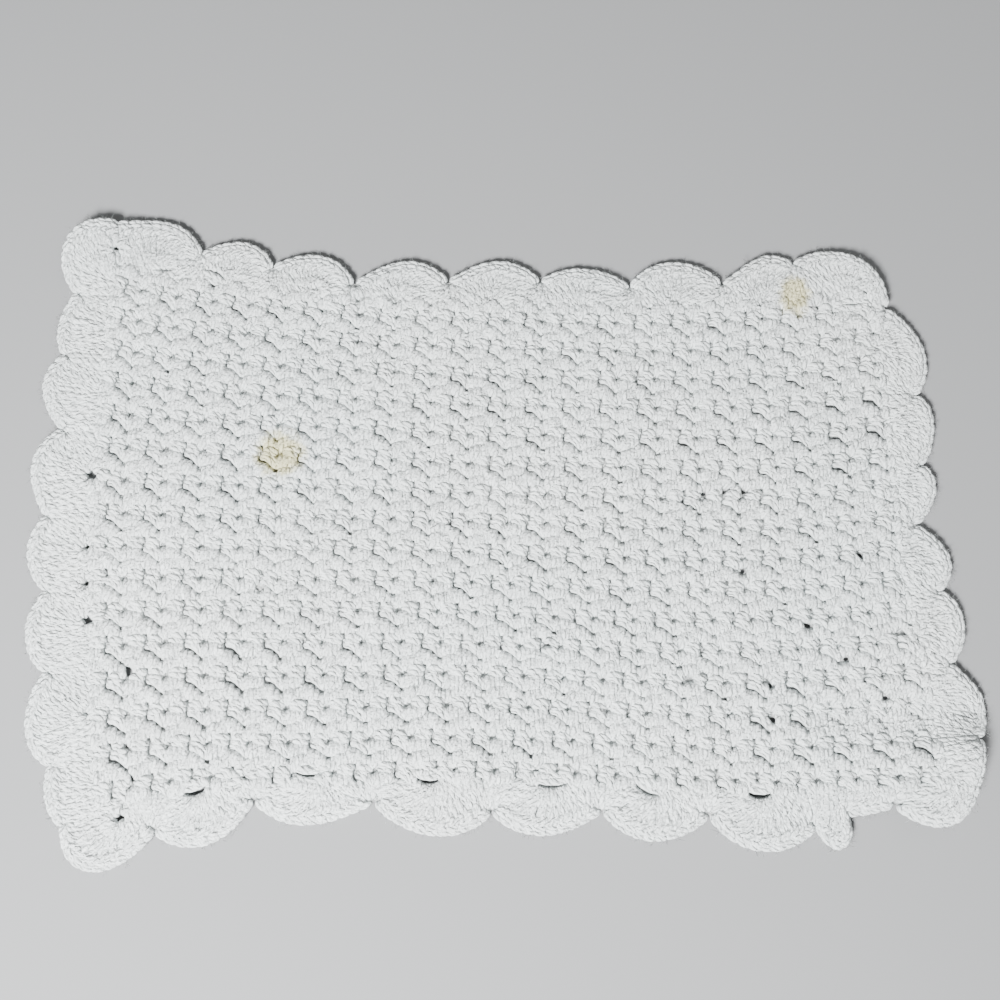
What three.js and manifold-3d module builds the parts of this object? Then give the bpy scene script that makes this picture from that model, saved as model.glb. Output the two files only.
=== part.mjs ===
// A white cotton crochet placemat lying flat, worked as one piece: a body of close, lumpy stitch
// rows with a border of shell scallops round it. Millimetres, +Z up. The underside rests on z = 0
// and the origin is under the middle of the outline's box.
import * as THREE from "three";
import { ParametricGeometry } from "three/addons/geometries/ParametricGeometry.js";
import { mergeVertices } from "three/addons/utils/BufferGeometryUtils.js";
import Module from "manifold-3d";

// Thicknesses: two strands of worsted cotton lie over each other in the body and the border
const YARN = 2.7;
const BODY_HEIGHT = 2.1 * YARN;
const STITCH_RELIEF = 0.8 * YARN;
const BORDER_HEIGHT = 1.9 * YARN;
const POST_RELIEF = 0.4 * YARN;
const VALLEY_DEPTH = 0.6 * YARN;

// One repeat of the body is two stitch clusters, side by side and one row apart
const CELLS_ACROSS = 21;
const CELLS_DOWN = 16;
const CLUSTERS_PER_CELL = 2;
const CROWN_LEAN = { across: 0.3, down: 0.55 };

// A shell is a fan of posts, each a ridge between two grooves
const POSTS_PER_SHELL = 5;
const POST_STEPS = 2;
const POST_LEAN = 0.3;
const FAN_GATHER = 0.55;

// Shallow shells are near parabolas (1) and deep ones near half ellipses (0.5)
const SHALLOW_BULGE = 1.1;
const BULGE_PER_DEPTH = 1.2;
const DEEPEST_BULGE = 0.5;

// The body's four edges as it lies, a little pulled out of square: x, y
const TOP_EDGE = [[-193, 133], [-140, 122], [-70, 116], [10, 112], [90, 112], [140, 114], [186, 121]];
const RIGHT_EDGE = [[186, 121], [191, 45], [192, -18], [199, -60], [204, -120]];
const BOTTOM_EDGE = [[-185, -130], [-140, -123], [-71, -120], [0, -119], [120, -124], [204, -120]];
const LEFT_EDGE = [[-193, 133], [-197, 60], [-197, 0], [-192, -70], [-185, -130]];

// The shells, clockwise from the top left corner: x and y of the valley that each starts at, how
// far it reaches out from the line to the next valley, and how far along its crown leans
const SHELLS = [
  { x: -193, y: 155.5, reach: 9, lean: 0.09 },
  { x: -150, y: 140, reach: 9, lean: 0.06 },
  { x: -114, y: 133, reach: 10, lean: 0.05 },
  { x: -73, y: 124, reach: 10.5, lean: 0.07 },
  { x: -26, y: 125, reach: 10, lean: 0.06 },
  { x: 20, y: 125, reach: 7.5, lean: 0 },
  { x: 65, y: 122, reach: 11.5, lean: -0.03 },
  { x: 111, y: 124, reach: 7, lean: 0.14 },
  { x: 147, y: 134.5, reach: 16.5, lean: 0.02 },
  { x: 193, y: 110, reach: 11, lean: 0.05 },
  { x: 205, y: 65, reach: 7, lean: -0.12 },
  { x: 206, y: 30, reach: 7, lean: -0.09 },
  { x: 201, y: 1, reach: 9.5, lean: 0.08 },
  { x: 210, y: -31, reach: 8.5, lean: -0.05 },
  { x: 213, y: -65, reach: 8.5, lean: 0.08 },
  { x: 222, y: -99, reach: 20.5, lean: 0.12 },
  { x: 180, y: -130, reach: 1, lean: 0 },
  { x: 159, y: -134.5, reach: 12.5, lean: 0 },
  { x: 145, y: -140, reach: 12.5, lean: 0 },
  { x: 96, y: -135, reach: 11.5, lean: 0.02 },
  { x: 47, y: -133, reach: 10, lean: 0.05 },
  { x: -4, y: -133, reach: 12, lean: -0.04 },
  { x: -58, y: -129, reach: 10, lean: 0.08 },
  { x: -113, y: -128, reach: 12, lean: 0.04 },
  { x: -158, y: -142, reach: 18.5, lean: 0.11 },
  { x: -201, y: -139, reach: 4.5, lean: -0.02 },
  { x: -209, y: -112, reach: 10, lean: -0.06 },
  { x: -214, y: -69, reach: 9, lean: -0.04 },
  { x: -217, y: -31, reach: 8, lean: 0 },
  { x: -220, y: 5, reach: 10.5, lean: 0.08 },
  { x: -215, y: 48, reach: 9, lean: 0.05 },
  { x: -217, y: 86, reach: 4.5, lean: -0.06 },
  { x: -213, y: 118, reach: 16.5, lean: 0.04 },
];

// Section of the border, out over the top and back underneath: t runs from the body's edge (0) to
// the rim (1), rise is a share of the border's height, ridge a share of the posts' relief
const BORDER_SECTION = [
  { t: -0.25, rise: 0.6, ridge: 0 },
  { t: 0.12, rise: 0.85, ridge: 0.6 },
  { t: 0.5, rise: 1, ridge: 1 },
  { t: 0.9, rise: 0.95, ridge: 0.5 },
  { t: 1, rise: 0.45, ridge: 0 },
  { t: 0.92, rise: -0.2, ridge: 0 },
  { t: -0.25, rise: -0.2, ridge: 0 },
];

// Corners that curl up: centre, radius of the lifted patch, height at its middle
const CURLS = [
  { x: 218, y: -140, radius: 62, height: 10 },
  { x: 218, y: -104, radius: 20, height: 3.5 },
  { x: -222, y: 162, radius: 50, height: 6 },
  { x: 200, y: 140, radius: 44, height: 4 },
  { x: -208, y: -160, radius: 40, height: 3 },
];

// Soft troughs in the upper side: from x0, y0 to x1, y1
const TROUGHS = [
  { x0: -75, y0: 20, x1: -119, y1: -35, width: 11, depth: 0.9 },
  { x0: 153, y0: -90, x1: 224, y1: -92, width: 9, depth: 2.2 },
];

// Gaps between stitches that go right through: centre, length, width, angle in degrees
const GAPS = [
  { x: -174, y: -69, length: 4.8, width: 3.2, angle: -45 },
  { x: -174, y: -135, length: 5.4, width: 2.8, angle: 14 },
  { x: -198, y: 25, length: 4.6, width: 4.2, angle: 0 },
  { x: -195, y: -45, length: 4.6, width: 4.2, angle: 0 },
  { x: -140, y: -123, length: 11, width: 2.2, angle: 18 },
  { x: -88, y: -115.5, length: 11.5, width: 2.2, angle: 0 },
  { x: -34, y: -118, length: 11, width: 2.2, angle: -8 },
  { x: 119, y: -124.5, length: 11, width: 2.2, angle: -4 },
];
const GAP_SIDES = 8;
const GAP_DEPTH = 60;

// The block that the underside is cut to: level, and raised where the corners curl
const BED = { width: 500, length: 360, depth: 30, columns: 25, rows: 18 };
const UNCUT_DEPTH = 3;

// How many points of the body's edge are tried for the one nearest a valley
const EDGE_TRIALS = 800;
const MERGE_WITHIN = 1e-4;

const COTTON = new THREE.MeshStandardMaterial({ color: 0xe4e6e5, roughness: 0.95, metalness: 0 });

// The body's edges as curves, and the patch that they bound

const spline = (points) => new THREE.SplineCurve(points.map(([x, y]) => new THREE.Vector2(x, y)));
const topEdge = spline(TOP_EDGE);
const rightEdge = spline(RIGHT_EDGE);
const bottomEdge = spline(BOTTOM_EDGE);
const leftEdge = spline(LEFT_EDGE);

function blend(a, b, share) {
  return a.clone().lerp(b, share);
}

// A point of the body: u across from the left, v down from the top, both 0 to 1
function bodyPoint(u, v) {
  const acrossRows = blend(topEdge.getPointAt(u), bottomEdge.getPointAt(u), v);
  const alongRows = blend(leftEdge.getPointAt(v), rightEdge.getPointAt(v), u);
  const upper = blend(topEdge.getPointAt(0), topEdge.getPointAt(1), u);
  const lower = blend(bottomEdge.getPointAt(0), bottomEdge.getPointAt(1), u);
  return acrossRows.add(alongRows).sub(blend(upper, lower, v));
}

// A point on the body's edge, q going clockwise by one for each side from the top left corner
function edgePoint(q) {
  const side = Math.floor(q) % 4;
  const share = q - Math.floor(q);
  if (side === 0) return topEdge.getPointAt(share);
  if (side === 1) return rightEdge.getPointAt(share);
  if (side === 2) return bottomEdge.getPointAt(1 - share);
  return leftEdge.getPointAt(1 - share);
}

function nearestOnEdge(x, y) {
  let best = { q: 0, distance: Infinity };
  for (let i = 0; i < EDGE_TRIALS; i += 1) {
    const q = (4 * i) / EDGE_TRIALS;
    const point = edgePoint(q);
    const distance = Math.hypot(point.x - x, point.y - y);
    if (distance < best.distance) best = { q, distance };
  }
  return best.q;
}

// Heights

function lift(x, y) {
  let height = 0;
  for (const curl of CURLS) {
    const away = Math.hypot(x - curl.x, y - curl.y) / curl.radius;
    if (away < 1) height += curl.height * (1 - away * away) ** 2;
  }
  return height;
}

function troughDepth(x, y) {
  let depth = 0;
  for (const trough of TROUGHS) {
    const line = new THREE.Line3(
      new THREE.Vector3(trough.x0, trough.y0, 0),
      new THREE.Vector3(trough.x1, trough.y1, 0),
    );
    const point = new THREE.Vector3(x, y, 0);
    const away = line.closestPointToPoint(point, true, new THREE.Vector3()).distanceTo(point);
    depth += trough.depth * Math.exp(-((away / trough.width) ** 2));
  }
  return depth;
}

// Body: a slab whose upper points are the crowns of the clusters and the dips between them. Each
// crown leans across and down, over its neighbours.

function bodyGeometry() {
  const columns = CELLS_ACROSS * CLUSTERS_PER_CELL;
  const rows = CELLS_DOWN * CLUSTERS_PER_CELL;
  const slab = new THREE.BoxGeometry(1, 1, 1, columns, rows, 1);
  const points = slab.attributes.position;
  const crowns = new Set();
  for (let i = 0; i < points.count; i += 1) {
    const column = Math.round((points.getX(i) + 0.5) * columns);
    const row = Math.round((0.5 - points.getY(i)) * rows);
    const isTop = points.getZ(i) > 0;
    const isInside = column > 0 && column < columns && row > 0 && row < rows;
    const isCrown = isTop && isInside && (column + row) % 2 === 0;
    if (isCrown) crowns.add(i);
    const leanAcross = isCrown ? CROWN_LEAN.across : 0;
    const leanDown = isCrown ? CROWN_LEAN.down : 0;
    const { x, y } = bodyPoint((column + leanAcross) / columns, (row + leanDown) / rows);
    const height = BODY_HEIGHT - (isCrown ? 0 : STITCH_RELIEF) - troughDepth(x, y);
    points.setXYZ(i, x, y, lift(x, y) + (isTop ? height : -UNCUT_DEPTH));
  }
  splitBetweenDips(slab.index.array, crowns);
  return slab;
}

// Turn the fold of each square that would join two crowns, so that every crown has four faces
function splitBetweenDips(corners, crowns) {
  for (let i = 0; i < corners.length; i += 6) {
    const [a, b, d, , c] = corners.slice(i, i + 5);
    if (crowns.has(b) || crowns.has(d)) corners.set([a, b, c, a, c, d], i);
  }
}

// Border: a ring of shells, its section carried round the outline

const valleyOnEdge = SHELLS.map(({ x, y }) => nearestOnEdge(x, y));

// A point on a shell's rim, s going from its first valley (0) to the next (1)
function rimPoint(shell, next, s) {
  const along = new THREE.Vector2(next.x - shell.x, next.y - shell.y);
  const out = new THREE.Vector2(-along.y, along.x).normalize();
  const skewed = s ** (Math.log(0.5) / Math.log(0.5 + shell.lean));
  const power = Math.max(DEEPEST_BULGE, SHALLOW_BULGE - (BULGE_PER_DEPTH * shell.reach) / along.length());
  const bulge = (4 * skewed * (1 - skewed)) ** power;
  const valley = new THREE.Vector2(shell.x, shell.y);
  return valley.addScaledVector(along, s).addScaledVector(out, shell.reach * bulge);
}

// The point of the body's edge that the same post springs from: posts gather towards the fan's middle
function rootPoint(index, s) {
  const from = valleyOnEdge[index];
  let to = valleyOnEdge[(index + 1) % SHELLS.length];
  if (to < from) to += 4;
  const gathered = s + (FAN_GATHER * Math.sin(2 * Math.PI * s)) / (2 * Math.PI);
  return edgePoint(from + (to - from) * gathered);
}

function borderGeometry() {
  const perShell = POSTS_PER_SHELL * POST_STEPS;
  const columns = SHELLS.length * perShell;
  const stations = BORDER_SECTION.length;
  const ringPoint = (ringShare, sectionShare, target) => {
    const column = Math.round(ringShare * columns) % columns;
    const station = BORDER_SECTION[Math.round(sectionShare * stations) % stations];
    const index = Math.floor(column / perShell);
    const step = column % perShell;
    const isPost = step % POST_STEPS === 1;
    const s = (1 - Math.cos((Math.PI * (step + (isPost ? POST_LEAN : 0))) / perShell)) / 2;
    const root = rootPoint(index, s);
    const rim = rimPoint(SHELLS[index], SHELLS[(index + 1) % SHELLS.length], s);
    const { x, y } = root.clone().lerp(rim, station.t);
    const groove = step === 0 ? VALLEY_DEPTH : POST_RELIEF;
    const ridge = isPost ? 0 : -groove * station.ridge;
    const sink = station.ridge > 0 ? troughDepth(x, y) : 0;
    target.set(x, y, lift(x, y) + BORDER_HEIGHT * station.rise + ridge - sink);
  };
  return new ParametricGeometry(ringPoint, columns, stations);
}

// Bed: its upper side is the mat's underside

function bedGeometry() {
  const { width, length, depth, columns, rows } = BED;
  const block = new THREE.BoxGeometry(width, length, depth, columns, rows, 1);
  block.translate(0, 0, -depth / 2);
  const points = block.attributes.position;
  for (let i = 0; i < points.count; i += 1) {
    if (points.getZ(i) === 0) points.setZ(i, lift(points.getX(i), points.getY(i)));
  }
  return block;
}

// Gaps: upright prisms with an oval section

function gapGeometry({ x, y, length, width, angle }) {
  const prism = new THREE.CylinderGeometry(0.5, 0.5, GAP_DEPTH, GAP_SIDES);
  prism.rotateX(Math.PI / 2);
  prism.scale(length, width, 1);
  prism.rotateZ(THREE.MathUtils.degToRad(angle));
  prism.translate(x, y, 0);
  return prism;
}

// Join and cut

const wasm = await Module();
wasm.setup();

function solidOf(geometry) {
  const bare = geometry.clone();
  bare.deleteAttribute("normal");
  bare.deleteAttribute("uv");
  const merged = mergeVertices(bare, MERGE_WITHIN);
  const triangles = [];
  const corners = merged.index.array;
  for (let i = 0; i < corners.length; i += 3) {
    const [a, b, c] = [corners[i], corners[i + 1], corners[i + 2]];
    if (a !== b && b !== c && c !== a) triangles.push(a, b, c);
  }
  return new wasm.Manifold(new wasm.Mesh({
    numProp: 3,
    vertProperties: new Float32Array(merged.attributes.position.array),
    triVerts: new Uint32Array(triangles),
  }));
}

function geometryOf(solid) {
  const { vertProperties, triVerts } = solid.getMesh();
  const geometry = new THREE.BufferGeometry();
  geometry.setAttribute("position", new THREE.BufferAttribute(vertProperties, 3));
  geometry.setIndex(new THREE.BufferAttribute(triVerts, 1));
  return geometry;
}

let cloth = solidOf(bodyGeometry()).add(solidOf(borderGeometry())).subtract(solidOf(bedGeometry()));
for (const gap of GAPS) cloth = cloth.subtract(solidOf(gapGeometry(gap)));

const clothGeometry = geometryOf(cloth);
clothGeometry.computeBoundingBox();
const middle = clothGeometry.boundingBox.getCenter(new THREE.Vector3());
clothGeometry.translate(-middle.x, -middle.y, -clothGeometry.boundingBox.min.z);
clothGeometry.computeVertexNormals();

const placemat = new THREE.Mesh(clothGeometry, COTTON);
placemat.name = "placemat";

const part = new THREE.Group();
part.add(placemat);
export default part;
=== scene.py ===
# A white cotton crochet placemat lying flat, built of short yarns: a ground sheet that carries the
# stitches of the body, the shell border round it, its rim chain and the stitches of the underside.
# Tables and places are in millimetres, meshes in metres. Up is +Z, and the mat lies on z = 0.
import math

import bmesh
import bpy
import numpy as np
from mathutils import Matrix


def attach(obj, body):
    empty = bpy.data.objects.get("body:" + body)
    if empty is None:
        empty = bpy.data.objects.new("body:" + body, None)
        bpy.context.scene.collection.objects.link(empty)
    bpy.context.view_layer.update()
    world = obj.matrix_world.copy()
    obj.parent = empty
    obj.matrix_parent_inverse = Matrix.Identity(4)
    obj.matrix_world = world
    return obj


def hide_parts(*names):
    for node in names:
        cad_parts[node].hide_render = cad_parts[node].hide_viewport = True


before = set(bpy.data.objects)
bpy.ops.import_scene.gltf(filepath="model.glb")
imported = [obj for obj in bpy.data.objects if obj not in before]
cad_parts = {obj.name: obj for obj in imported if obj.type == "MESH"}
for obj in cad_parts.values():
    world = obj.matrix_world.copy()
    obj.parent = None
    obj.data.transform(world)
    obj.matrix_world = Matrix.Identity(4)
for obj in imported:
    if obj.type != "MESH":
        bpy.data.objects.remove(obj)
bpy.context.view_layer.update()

MM = 0.001
TINY = 1e-6
RNG = np.random.default_rng(21)

# The body's repeats: how many, the size of one as its yarns are listed below, where the first one starts,
# and the meshes that the upper side is split into
CELLS_ACROSS = 21
CELLS_DOWN = 16
REPEAT_WIDTH = 18.8
REPEAT_DEPTH = 14.6
FIRST_COLUMN = -6.0
FIRST_ROW = 0.6
BANDS = 3

# The body's four edges as it lies: x, y
TOP_EDGE = [(-193, 133), (-140, 122), (-70, 116), (10, 112), (90, 112), (140, 114), (186, 121)]
RIGHT_EDGE = [(186, 121), (191, 45), (192, -18), (199, -60), (204, -120)]
BOTTOM_EDGE = [(-185, -130), (-140, -123), (-71, -120), (0, -119), (120, -124), (204, -120)]
LEFT_EDGE = [(-193, 133), (-197, 60), (-197, 0), (-192, -70), (-185, -130)]
SIDES = 4

# The shells, clockwise from the top left corner: x and y of the valley that each starts at, how far
# it reaches out from the line to the next valley, and how far along its crown leans
SHELLS = [
    (-193, 155.5, 9, 0.09), (-150, 140, 9, 0.06), (-114, 133, 10, 0.05), (-73, 124, 10.5, 0.07),
    (-26, 125, 10, 0.06), (20, 125, 7.5, 0), (65, 122, 11.5, -0.03), (111, 124, 7, 0.14),
    (147, 134.5, 16.5, 0.02), (193, 110, 11, 0.05), (205, 65, 7, -0.12), (206, 30, 7, -0.09),
    (201, 1, 9.5, 0.08), (210, -31, 8.5, -0.05), (213, -65, 8.5, 0.08), (222, -99, 20.5, 0.12),
    (180, -130, 1, 0), (159, -134.5, 12.5, 0), (145, -140, 12.5, 0), (96, -135, 11.5, 0.02),
    (47, -133, 10, 0.05), (-4, -133, 12, -0.04), (-58, -129, 10, 0.08), (-113, -128, 12, 0.04),
    (-158, -142, 18.5, 0.11), (-201, -139, 4.5, -0.02), (-209, -112, 10, -0.06), (-214, -69, 9, -0.04),
    (-217, -31, 8, 0), (-220, 5, 10.5, 0.08), (-215, 48, 9, 0.05), (-217, 86, 4.5, -0.06),
    (-213, 118, 16.5, 0.04),
]
# The power of a shell's bulge: of a flat one, how it falls with the reach, and at least
SHALLOW_BULGE = 1.1
BULGE_PER_DEPTH = 1.2
DEEPEST_BULGE = 0.5
# A fan's foot as a share of the body's edge between its valleys, and how its posts gather there
FAN_FOOT = 0.2
FAN_GATHER = 1.3

# Points that stand for a curve: between two points of an edge, round the whole edge, and along a
# shell's rim for the mat's extent, for the shell's length and for even steps
EDGE_STEPS = 60
EDGE_TRIALS = 1600
RIM_STEPS = 40
LENGTH_STEPS = 60
EVEN_STEPS = 200

# Corners that curl up: x, y, radius of the lifted patch, height at its middle
CURLS = [
    (218, -140, 62, 10), (218, -104, 20, 3.5), (-222, 162, 50, 6), (200, 140, 44, 4),
    (-208, -160, 40, 3),
]

# Soft troughs: from x, y to x, y, width, depth. The upper yarns sink by so many times that depth.
TROUGHS = [(-75, 20, -119, -35, 11, 0.9), (153, -90, 224, -92, 9, 2.2)]
YARN_SINK = 1.4

# Gaps between stitches that go right through: x, y, length, width, angle in degrees
GAPS = [
    (-174, -69, 4.8, 3.2, -45), (-174, -135, 5.4, 2.8, 14), (-198, 25, 4.6, 4.2, 0),
    (-195, -45, 4.6, 4.2, 0), (-140, -123, 11, 2.2, 18), (-88, -115.5, 11.5, 2.2, 0),
    (-34, -118, 11, 2.2, -8), (119, -124.5, 11, 2.2, -4),
]

# Smaller gaps and thin slits, where yarns part and the solid is whole: the same columns
PITS = [
    (-197.5, -10, 3.5, 2.8, 30), (-196.5, -27.5, 3.8, 3.0, 20), (-168, 130, 5.5, 1.4, 0),
    (-193, 141, 3.6, 2.6, 10), (-143, 128, 12, 1.3, -24), (176, 111, 17, 1.3, 0),
    (24, -120, 15, 1.2, 0), (67, -122.5, 12, 1.2, -28), (-118, -117, 2.4, 2.0, 0),
    (116, -21.5, 3.0, 2.0, 60), (145.5, -47.5, 3.6, 2.4, -10), (172, -14, 3.6, 2.4, -10),
    (163, -63, 2.8, 1.8, 15), (117.5, 17, 3.2, 2.2, 0), (108.5, 17, 2.8, 1.8, 40),
    (98.5, 16, 2.8, 1.8, 25), (127, -91, 3.6, 2.4, 0), (126.5, -75.5, 2.8, 2.2, 0),
    (-115, -29.5, 4.2, 1.6, -15), (89, -72.5, 3.0, 1.6, 20), (180.5, -81, 2.6, 2.0, 0),
    (22.5, -56.5, 2.2, 1.8, 80), (-173, -103, 1.8, 1.8, 0), (-169.5, -118, 2.2, 2.0, 60),
    (-192.5, -88.5, 3.2, 2.0, -60), (186.5, 89, 3.0, 1.4, -10), (187, 12.5, 3.0, 1.4, -10),
    (190, -51, 3.5, 1.4, -5), (197, -54, 3.4, 1.4, 100), (-92, 120, 3.0, 1.0, 8),
]
# Pits at least this wide go through the ground: the sides and the height of what cuts them
HOLE_WIDTH = 1.8
HOLE_SIDES = 8
HOLE_HEIGHT = 40.0

# How yarns part at a gap: how much of their radius stays clear of it, how far in they may reach before
# they are cut short, as a share of the gap, the shortest rest that is kept, as a share of the yarn, how
# near a yarn has to come, in gaps, the points that it is tried at, and the least share it is pushed from
GAP_ROOM = 0.6
BRIDGE_SHARE = 0.8
SHORTEST_REST = 0.25
NEAR_GAP = 3.0
TRIM_STEPS = 31
PUSH_FROM = 0.05

# Slits at least this long: the share of their width that stays open, how far they bow away from the
# body, the share of that in their middle, and how far it goes on past their ends, in half lengths
LONG_SLIT = 8.0
SLIT_SHARE = 0.45
SLIT_BOW = 1.3
BOW_MIDDLE = 0.5
BOW_END = 1.2

# The yarns of one repeat in groups that move together, seen from above, x to the right and y down from
# its upper left corner: x, y and height of each yarn's start, middle and end, before its ends dive in
STITCH = [
    # bars of the upper row, right and left of the crack between two fans
    [
        (15.0, 8.5, 3.5, 17.8, 8.2, 4.4, 20.9, 8.8, 3.6),
        (15.8, 6.2, 3.5, 18.1, 5.9, 4.5, 21.8, 7.2, 3.5),
    ],
    [
        (6.0, 7.7, 3.5, 9.4, 7.5, 4.3, 12.5, 8.6, 3.5),
        (5.6, 5.5, 3.3, 9.8, 5.5, 4.4, 13.4, 6.2, 3.5),
    ],
    # upright legs above them, from the crack of the row before
    [
        (12.2, -3.3, 3.7, 12.0, 1.0, 3.9, 11.9, 6.0, 3.3),
        (14.4, -2.6, 3.7, 14.2, 1.0, 4.2, 14.2, 3.6, 3.1),
        (16.5, -2.1, 3.7, 16.4, 1.5, 4.4, 16.3, 6.2, 3.3),
        (18.6, -0.1, 3.6, 18.8, 2.6, 4.0, 19.0, 6.4, 3.1),
    ],
    [
        (2.2, 2.5, 3.6, 2.4, 4.0, 3.8, 3.0, 7.2, 3.3),
        (5.0, -0.4, 3.4, 4.9, 3.2, 4.4, 5.0, 6.6, 3.5),
        (6.9, -1.2, 3.4, 7.0, 2.0, 4.4, 7.1, 6.0, 3.3),
        (8.7, -1.2, 3.3, 8.8, 2.0, 4.1, 8.8, 6.0, 3.2),
        (10.4, -1.4, 3.1, 10.4, 2.0, 3.9, 10.4, 6.0, 3.3),
    ],
    # the lower row: a slanting post over the crack, then upright ones
    [
        (14.0, 10.0, 3.5, 18.0, 10.6, 4.5, 21.6, 14.6, 3.5),
        (15.2, 9.2, 3.4, 19.2, 9.7, 4.3, 22.6, 12.8, 3.4),
    ],
    [
        (3.1, 10.0, 3.4, 3.1, 12.0, 4.0, 2.8, 14.8, 3.3),
        (5.1, 8.9, 3.4, 5.2, 11.8, 4.4, 4.9, 15.4, 3.4),
        (7.2, 8.0, 3.3, 7.3, 11.6, 4.4, 7.0, 15.2, 3.3),
        (9.2, 8.2, 3.3, 9.4, 11.4, 4.0, 9.2, 15.0, 3.2),
        (11.2, 8.9, 3.1, 11.2, 11.2, 3.6, 11.1, 14.4, 3.0),
    ],
]
# The same for the underside, fewer and plainer
UNDER_STITCH = [
    [
        (1.0, 3.6, 1.5, 4.6, 3.2, 1.4, 8.6, 3.8, 1.5),
        (1.2, 6.2, 1.5, 5.0, 6.0, 1.4, 9.0, 6.4, 1.5),
    ],
    [
        (10.2, 3.2, 1.5, 14.0, 3.6, 1.4, 18.0, 3.0, 1.5),
        (10.6, 6.0, 1.5, 14.4, 6.2, 1.4, 18.4, 5.6, 1.5),
    ],
    [
        (2.6, 7.4, 1.5, 2.4, 11.0, 1.4, 2.8, 15.2, 1.5),
        (5.6, 7.6, 1.5, 5.8, 11.2, 1.4, 5.4, 15.4, 1.5),
        (8.8, 7.4, 1.5, 8.6, 11.0, 1.4, 8.8, 15.2, 1.5),
        (11.8, 7.2, 1.5, 12.0, 10.8, 1.4, 11.8, 15.0, 1.5),
        (14.8, 7.4, 1.5, 14.6, 11.2, 1.4, 15.0, 15.2, 1.5),
        (17.8, 7.0, 1.5, 18.0, 10.8, 1.4, 17.8, 14.8, 1.5),
    ],
]

# Yarns: radii above, below and on the rim, height as a share of width, the lowest middle line, how deep
# their ends dive in and over which share of the length, and how much and how suddenly they thin there
YARN_RADIUS = 1.75
UNDER_RADIUS = 1.45
RIM_RADIUS = 0.9 * YARN_RADIUS
FLATNESS = 0.75
LOWEST = 1.35
DIVE = 1.6
DIVE_SHARE = 0.07
END_TAPER = 0.3
TAPER_POWER = 6

# Rings along a yarn: on the upper side, over the posts and on the border's underside, and on fibres
# and the body's underside
FACE_RINGS = 6
BACK_RINGS = 5
PLAIN_RINGS = 4

# Sections of yarns, as angles round them: seen from above, from below, and all round
ARCH = np.radians([-20, 24, 68, 112, 156, 200])
HANGING_ARCH = np.radians([160, 232, 308, 380])
ROUND = np.radians([18, 90, 162, 234, 306])
THREE_SIDED = np.radians([30, 150, 270])

# How uneven the work is: places of repeats and how slowly they change, places of groups and of yarns,
# heights on both sides, radii, and how far along their twist yarns start
CELL_SPREAD = 0.48
WANDER_ROUNDS = 3
GROUP_SPREAD = 0.1
PLACE_SPREAD = 0.08
HEIGHT_SPREAD = 0.12
UNDER_SPREAD = 0.04
RADIUS_SPREAD = 0.05
TWIST_SPREAD = 40

# Border: how far apart the posts of a shell stand, and the fewest of them
POST_PITCH = 5.6
FEWEST_POSTS = 3

# Border yarns: height at both ends, height in the middle, how uneven both are, and how deep ends dive in
LEG_HEIGHTS = (3.5, 4.0, HEIGHT_SPREAD)
JOINT_HEIGHTS = (3.5, 3.8, HEIGHT_SPREAD)
BACK_HEIGHTS = (1.5, 1.4, UNDER_SPREAD)
BORDER_DIVE = 0.5 * DIVE

# The yarns of one post: place along the rim in posts, shares of the way from its foot to its top at the
# start and at the end, and how much lower than the others it lies
LEGS = [
    (-0.22, -0.10, 0.56, 0.0), (0.22, -0.10, 0.50, 0.0),
    (-0.33, 0.36, 1.0, 0.3), (0.0, 0.32, 1.0, 0.0), (0.33, 0.38, 1.0, 0.3),
]
UNDER_LEGS = [(-0.25, -0.2, 1.0, 0.0), (0.25, -0.2, 1.0, 0.0)]
# Their width at the start as a share of the rest, how far inside the rim they end, how far they bow, how
# uneven their starts are, how much flatter they lie at the valleys and how suddenly, and the shares of
# their way at which they are tried against gaps
FOOT_WIDTH = 0.6
LEG_END = 5.0
LEG_BOW = 0.6
LEG_STAGGER = 0.09
LEG_FALL = 0.6
FALL_POWER = 4
FOOT_SHARES = np.linspace(-0.2, 0.4, 60)

# The wedge between two fans: yarns on each side of its middle, the shares of the way to the valley that
# they end at in turn, how uneven these are, how far into the body they start, how far inside the valley
# and how far aside of it they point, how far they fall on the way, and a short step along the edge
JOINT_HALF = 7
JOINT_ENDS = [1.0, 0.62, 0.85]
JOINT_STAGGER = 0.5 * LEG_STAGGER
JOINT_START = 4.0
JOINT_END = 2.6
JOINT_TIP = 4.0
JOINT_FALL = 0.4
EDGE_STEP = 0.01

# Yarns beside a long slit: how far towards the body's middle, in radii, and how high. The last one only
# lies at slits that are so far inside the body. Their ends draw closer to the slit by a share.
LIPS = [(0.8, 3.9), (2.3, 3.5), (-1.1, 3.6)]
WELL_INSIDE = 2.0
LIP_CLOSING = 0.2

# Short yarns round the star-shaped holes along the body's edge: the longest such hole, how far inside the
# edge it may lie, the yarns of one, how uneven their angles are, how far from the hole they start and by
# how much more or less in turn, how far they reach and how uneven that is, and how high they lie and fall
LONGEST_STAR = 5.6
STAR_BAND = 6.0
STAR_RAYS = 9
STAR_TURN = 0.15
STAR_ROOM = 0.5
STAR_UNEVEN = 0.45
STAR_REACH = 7.0
STAR_REACH_SPREAD = 0.8
STAR_HEIGHT = 4.0
STAR_FALL = 0.6

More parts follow.
